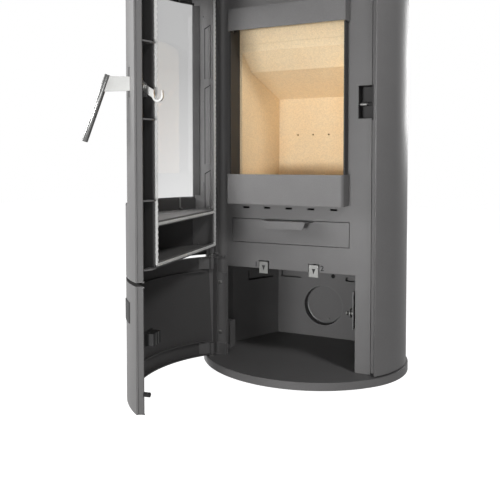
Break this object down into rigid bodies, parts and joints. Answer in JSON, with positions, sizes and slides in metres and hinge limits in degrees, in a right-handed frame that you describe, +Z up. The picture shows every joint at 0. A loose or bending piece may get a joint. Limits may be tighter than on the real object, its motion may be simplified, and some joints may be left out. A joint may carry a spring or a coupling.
{
  "type": "oval steel log stove with curved glass door",
  "caption": "Free-standing oval steel log stove with a curved glass fire door held open, an ash drawer, air levers and a log compartment behind its own curved door.",
  "frame": {"origin": "on the floor, under the middle of the front plate's face", "axes": "+Z up, +Y from the front plate to the back of the stove, +X to the right seen from the front"},
  "size_m": [0.5816, 0.8052, 1.11],
  "materials": {
    "stove_paint": "satin heat-resistant paint, anthracite",
    "front_paint": "satin heat-resistant paint, anthracite",
    "dark_steel": "matte heat-resistant paint, near black",
    "fire_board": "matte pressed vermiculite board",
    "grate_iron": "as cast",
    "zinc_steel": "zinc plated",
    "bright_steel": "brushed stainless",
    "door_glass": "clear ceramic glass",
    "rope": "braided glass-fibre rope",
    "magnet_case": "matte black",
    "buffer_rubber": "matte"
  },
  "bodies": {
    "stove_body": {"base_plate": "stove_paint", "levelling_feet": "zinc_steel", "front_plate": "front_paint", "side_shell_left": "stove_paint", "side_shell_right": "stove_paint", "back_panel": "stove_paint", "top_plate": "stove_paint", "flue_collar": "stove_paint", "firebox_body": "dark_steel", "opening_collar": "dark_steel", "lining_left": "fire_board", "lining_right": "fire_board", "lining_back": "fire_board", "lining_floor": "fire_board", "fire_grate": "grate_iron", "baffle_lower": "fire_board", "baffle_upper": "fire_board", "throat_board": "fire_board", "log_guard": "front_paint", "air_deflector": "front_paint", "ash_box": "dark_steel", "ash_runners": "dark_steel", "compartment_liner": "front_paint", "compartment_ceiling": "front_paint", "air_inlet_collar": "stove_paint", "air_inlet_cover": "front_paint", "air_inlet_screw": "zinc_steel", "catch_box": "dark_steel", "hinge_lugs": "front_paint", "hinge_pins": "zinc_steel", "jamb_strip": "front_paint", "jamb_screws": "zinc_steel", "side_bracket": "front_paint", "side_bolt": "zinc_steel", "lever_guides": "dark_steel"},
    "fire_door": {"door_skin": "stove_paint", "door_frame": "front_paint", "door_glass": "door_glass", "glass_strips": "dark_steel", "glass_ledge": "dark_steel", "frame_plates": "front_paint", "door_stiffeners": "front_paint", "sealing_rope": "rope", "cross_rope": "rope", "door_knuckles": "front_paint", "spindle_bracket": "front_paint"},
    "door_handle": {"handle_spindle": "zinc_steel", "handle_arm": "bright_steel", "handle_grip": "bright_steel", "latch_hook": "bright_steel"},
    "log_door": {"log_door_skin": "stove_paint", "log_door_knuckles": "front_paint", "log_door_pull": "magnet_case", "magnet_catch": "magnet_case", "door_buffer": "buffer_rubber"},
    "ash_drawer": {"ash_pan": "zinc_steel", "ash_drawer_front": "front_paint"},
    "secondary_air": {"secondary_air_lever": "zinc_steel"},
    "primary_air": {"primary_air_lever": "zinc_steel"},
    "roller": {"catch_roller": "zinc_steel"}
  },
  "joints": [
    {"name": "fire_door_hinge", "type": "hinge", "parent": "stove_body", "child": "fire_door", "pos_m": [-0.216, -0.028, 0.67], "axis": [0, 0, 1], "range_deg": [-28, 81.8]},
    {"name": "log_door_hinge", "type": "hinge", "parent": "stove_body", "child": "log_door", "pos_m": [-0.216, -0.028, 0.16], "axis": [0, 0, 1], "range_deg": [-28, 81.8]},
    {"name": "handle_lift", "type": "hinge", "parent": "fire_door", "child": "door_handle", "pos_m": [-0.15865, -0.44003, 0.716], "axis": [-0.1426, 0.9898, 0], "range_deg": [0, 28]},
    {"name": "ash_drawer_slide", "type": "slide", "parent": "stove_body", "child": "ash_drawer", "axis": [0, 1, 0], "range_m": [-0.15, 0]},
    {"name": "secondary_air_slide", "type": "slide", "parent": "stove_body", "child": "secondary_air", "axis": [0, 1, 0], "range_m": [-0.03, 0]},
    {"name": "primary_air_slide", "type": "slide", "parent": "stove_body", "child": "primary_air", "axis": [0, 1, 0], "range_m": [-0.03, 0]},
    {"name": "catch_roller_spin", "type": "hinge", "parent": "stove_body", "child": "roller", "pos_m": [0.1985, 0.01, 0.698], "axis": [1, 0, 0], "continuous": true}
  ]
}
